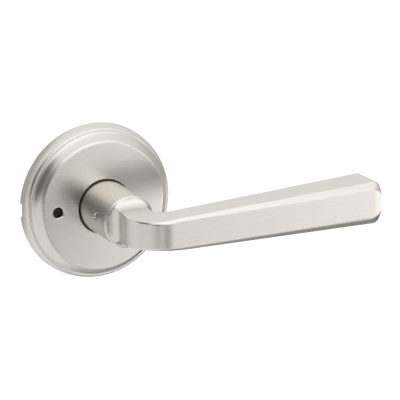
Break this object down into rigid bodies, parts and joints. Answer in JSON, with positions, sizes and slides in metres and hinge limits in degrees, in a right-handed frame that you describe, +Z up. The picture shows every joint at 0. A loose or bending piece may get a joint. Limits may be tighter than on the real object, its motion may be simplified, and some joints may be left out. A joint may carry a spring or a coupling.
{
  "type": "privacy door lever handle",
  "caption": "Door lever handle: round stepped rose, cylindrical neck and a flat tapering lever with bevelled front edges, sprung and with an emergency release hole.",
  "frame": {"origin": "on the spindle's axis, at the door face that the back of the rose rests on", "axes": "+Y into the door along the spindle, +X along the lever towards its tip, +Z up the door"},
  "size_m": [0.139, 0.1102, 0.0666],
  "materials": {
    "satin_nickel": "satin",
    "zinc_plated_steel": "satin",
    "bright_steel": "satin",
    "yellow_zinc_steel": "satin",
    "spring_steel": "satin",
    "die_cast_zinc": "matte",
    "black_nylon": "matte",
    "white_nylon": "matte"
  },
  "bodies": {
    "trim": {"rose": "satin_nickel", "neck_ring": "black_nylon", "mounting_plate": "zinc_plated_steel", "rose_clips": "spring_steel", "mounting_posts": "bright_steel", "hub_bush": "black_nylon", "spring_cage": "zinc_plated_steel", "cage_screws": "yellow_zinc_steel", "spring_cover": "zinc_plated_steel", "return_spring": "spring_steel", "stop_pins": "bright_steel", "spring_washer": "spring_steel", "release_guide": "white_nylon", "release_spring": "spring_steel"},
    "lever_set": {"lever": "satin_nickel", "drive_sleeve": "bright_steel", "drive_cam": "die_cast_zinc", "retaining_ring": "spring_steel", "spindle_adapter": "die_cast_zinc", "spindle": "bright_steel", "spindle_pin": "bright_steel", "catch_carrier": "die_cast_zinc", "catch_spring": "spring_steel"},
    "catch": {"lever_catch": "spring_steel"},
    "release": {"release_plunger": "black_nylon", "plunger_clip": "spring_steel"}
  },
  "joints": [
    {"name": "lever_turn", "type": "hinge", "parent": "trim", "child": "lever_set", "pos_m": [0, 0, 0], "axis": [0, 1, 0], "range_deg": [-50, 50], "stiffness_Nm_per_rad": 2, "springref_deg": -2.86, "deforming": ["return_spring"]},
    {"name": "catch_press", "type": "slide", "parent": "lever_set", "child": "catch", "axis": [0.9903, 0, -0.1392], "range_m": [0, 0.0023], "stiffness_N_per_m": 600, "springref_m": -0.002, "deforming": ["catch_spring"]},
    {"name": "release_press", "type": "slide", "parent": "trim", "child": "release", "axis": [0, 1, 0], "range_m": [0, 0.003], "stiffness_N_per_m": 300, "springref_m": -0.003, "deforming": ["release_spring"]}
  ]
}
